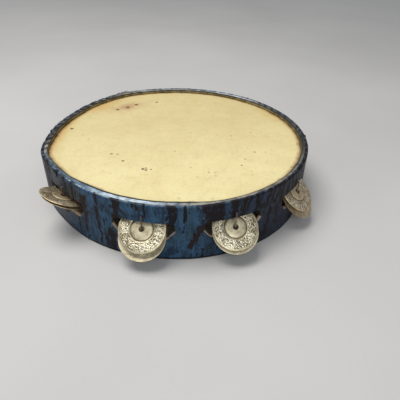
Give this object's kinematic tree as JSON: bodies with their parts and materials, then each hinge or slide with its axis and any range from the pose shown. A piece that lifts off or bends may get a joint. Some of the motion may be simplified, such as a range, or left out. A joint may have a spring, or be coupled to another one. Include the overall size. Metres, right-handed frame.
{
  "type": "tambourine",
  "caption": "Hand-held frame drum: a skin head clamped just inside a shallow bent wood shell, with pairs of thin dished metal jingles hung on wires in slots round its side.",
  "frame": {"origin": "on the shell's axis at its lower edge", "axes": "+Z out of the playing face; -Y toward the middle of one of the two groups of four jingle pairs, between its second and third pair; +X to the right seen from -Y"},
  "size_m": [0.256, 0.2833, 0.0539],
  "materials": {
    "blue_paint": "glossy old paint over wood, blue with brown-black streaks",
    "worn_rim_paint": "the same paint, worn pale along the rim",
    "skin": "cream-yellow parchment, satin",
    "raw_wood": "bare wood",
    "tinned_metal": "stippled tinned sheet, lightly tarnished",
    "wire": "dull drawn wire",
    "tack_iron": "darkened iron"
  },
  "bodies": {
    "frame": {"shell": "blue_paint", "counter_hoop": "worn_rim_paint", "head": "skin", "flesh_hoop": "raw_wood", "staple_01": "wire", "staple_02": "wire", "staple_03": "wire", "staple_04": "wire", "staple_05": "wire", "staple_06": "wire", "staple_07": "wire", "staple_08": "wire", "tack_01": "tack_iron", "tack_02": "tack_iron", "tack_03": "tack_iron", "tack_04": "tack_iron", "tack_05": "tack_iron", "tack_06": "tack_iron"},
    "jingle_01_upper": {"jingle_01_upper": "tinned_metal"},
    "jingle_01_lower": {"jingle_01_lower": "tinned_metal"},
    "jingle_02_upper": {"jingle_02_upper": "tinned_metal"},
    "jingle_02_lower": {"jingle_02_lower": "tinned_metal"},
    "jingle_03_upper": {"jingle_03_upper": "tinned_metal"},
    "jingle_03_lower": {"jingle_03_lower": "tinned_metal"},
    "jingle_04_upper": {"jingle_04_upper": "tinned_metal"},
    "jingle_04_lower": {"jingle_04_lower": "tinned_metal"},
    "jingle_05_upper": {"jingle_05_upper": "tinned_metal"},
    "jingle_05_lower": {"jingle_05_lower": "tinned_metal"},
    "jingle_06_upper": {"jingle_06_upper": "tinned_metal"},
    "jingle_06_lower": {"jingle_06_lower": "tinned_metal"},
    "jingle_07_upper": {"jingle_07_upper": "tinned_metal"},
    "jingle_07_lower": {"jingle_07_lower": "tinned_metal"},
    "jingle_08_upper": {"jingle_08_upper": "tinned_metal"},
    "jingle_08_lower": {"jingle_08_lower": "tinned_metal"}
  },
  "joints": [
    {"name": "tilt_01_upper", "type": "hinge", "parent": "frame", "child": "jingle_01_upper", "pos_m": [-0.09785, -0.08357, 0.0338], "axis": [0.6494, -0.7604, 0], "range_deg": [-25, 53]},
    {"name": "tilt_01_lower", "type": "hinge", "parent": "frame", "child": "jingle_01_lower", "pos_m": [-0.09785, -0.08357, 0.0284], "axis": [0.6494, -0.7604, 0], "range_deg": [-25, 53]},
    {"name": "tilt_02_upper", "type": "hinge", "parent": "frame", "child": "jingle_02_upper", "pos_m": [-0.02893, -0.1253, 0.0308], "axis": [0.9744, -0.225, 0], "range_deg": [-39, 7]},
    {"name": "tilt_02_lower", "type": "hinge", "parent": "frame", "child": "jingle_02_lower", "pos_m": [-0.02893, -0.1253, 0.022], "axis": [0.9744, -0.225, 0], "range_deg": [-39, 7]},
    {"name": "tilt_03_upper", "type": "hinge", "parent": "frame", "child": "jingle_03_upper", "pos_m": [0.04483, -0.12053, 0.0284], "axis": [0.9373, 0.3486, 0], "range_deg": [-51, 8]},
    {"name": "tilt_03_lower", "type": "hinge", "parent": "frame", "child": "jingle_03_lower", "pos_m": [0.04483, -0.12053, 0.0242], "axis": [0.9373, 0.3486, 0], "range_deg": [-51, 8]},
    {"name": "tilt_04_upper", "type": "hinge", "parent": "frame", "child": "jingle_04_upper", "pos_m": [0.10573, -0.07321, 0.0306], "axis": [0.5693, 0.8221, 0], "range_deg": [-43, 8]},
    {"name": "tilt_04_lower", "type": "hinge", "parent": "frame", "child": "jingle_04_lower", "pos_m": [0.10573, -0.07321, 0.0222], "axis": [0.5693, 0.8221, 0], "range_deg": [-43, 8]},
    {"name": "tilt_05_upper", "type": "hinge", "parent": "frame", "child": "jingle_05_upper", "pos_m": [0.1093, 0.06777, 0.0292], "axis": [-0.527, 0.8499, 0], "range_deg": [-51, 14]},
    {"name": "tilt_05_lower", "type": "hinge", "parent": "frame", "child": "jingle_05_lower", "pos_m": [0.1093, 0.06777, 0.0236], "axis": [-0.527, 0.8499, 0], "range_deg": [-51, 14]},
    {"name": "tilt_06_upper", "type": "hinge", "parent": "frame", "child": "jingle_06_upper", "pos_m": [0.05087, 0.11811, 0.0304], "axis": [-0.9184, 0.3955, 0], "range_deg": [-43, 7]},
    {"name": "tilt_06_lower", "type": "hinge", "parent": "frame", "child": "jingle_06_lower", "pos_m": [0.05087, 0.11811, 0.0224], "axis": [-0.9184, 0.3955, 0], "range_deg": [-43, 7]},
    {"name": "tilt_07_upper", "type": "hinge", "parent": "frame", "child": "jingle_07_upper", "pos_m": [-0.02567, 0.12616, 0.029], "axis": [-0.9799, -0.1994, 0], "range_deg": [-44, 15]},
    {"name": "tilt_07_lower", "type": "hinge", "parent": "frame", "child": "jingle_07_lower", "pos_m": [-0.02567, 0.12616, 0.0226], "axis": [-0.9799, -0.1994, 0], "range_deg": [-44, 15]},
    {"name": "tilt_08_upper", "type": "hinge", "parent": "frame", "child": "jingle_08_upper", "pos_m": [-0.09308, 0.08833, 0.03], "axis": [-0.6884, -0.7254, 0], "range_deg": [-37, 5]},
    {"name": "tilt_08_lower", "type": "hinge", "parent": "frame", "child": "jingle_08_lower", "pos_m": [-0.09308, 0.08833, 0.0222], "axis": [-0.6884, -0.7254, 0], "range_deg": [-37, 5]}
  ],
  "couplings": [
    {"joint": "tilt_01_lower", "follows": "tilt_01_upper", "ratio": 1},
    {"joint": "tilt_02_lower", "follows": "tilt_02_upper", "ratio": 1},
    {"joint": "tilt_03_lower", "follows": "tilt_03_upper", "ratio": 1},
    {"joint": "tilt_04_lower", "follows": "tilt_04_upper", "ratio": 1},
    {"joint": "tilt_05_lower", "follows": "tilt_05_upper", "ratio": 1},
    {"joint": "tilt_06_lower", "follows": "tilt_06_upper", "ratio": 1},
    {"joint": "tilt_07_lower", "follows": "tilt_07_upper", "ratio": 1},
    {"joint": "tilt_08_lower", "follows": "tilt_08_upper", "ratio": 1}
  ]
}
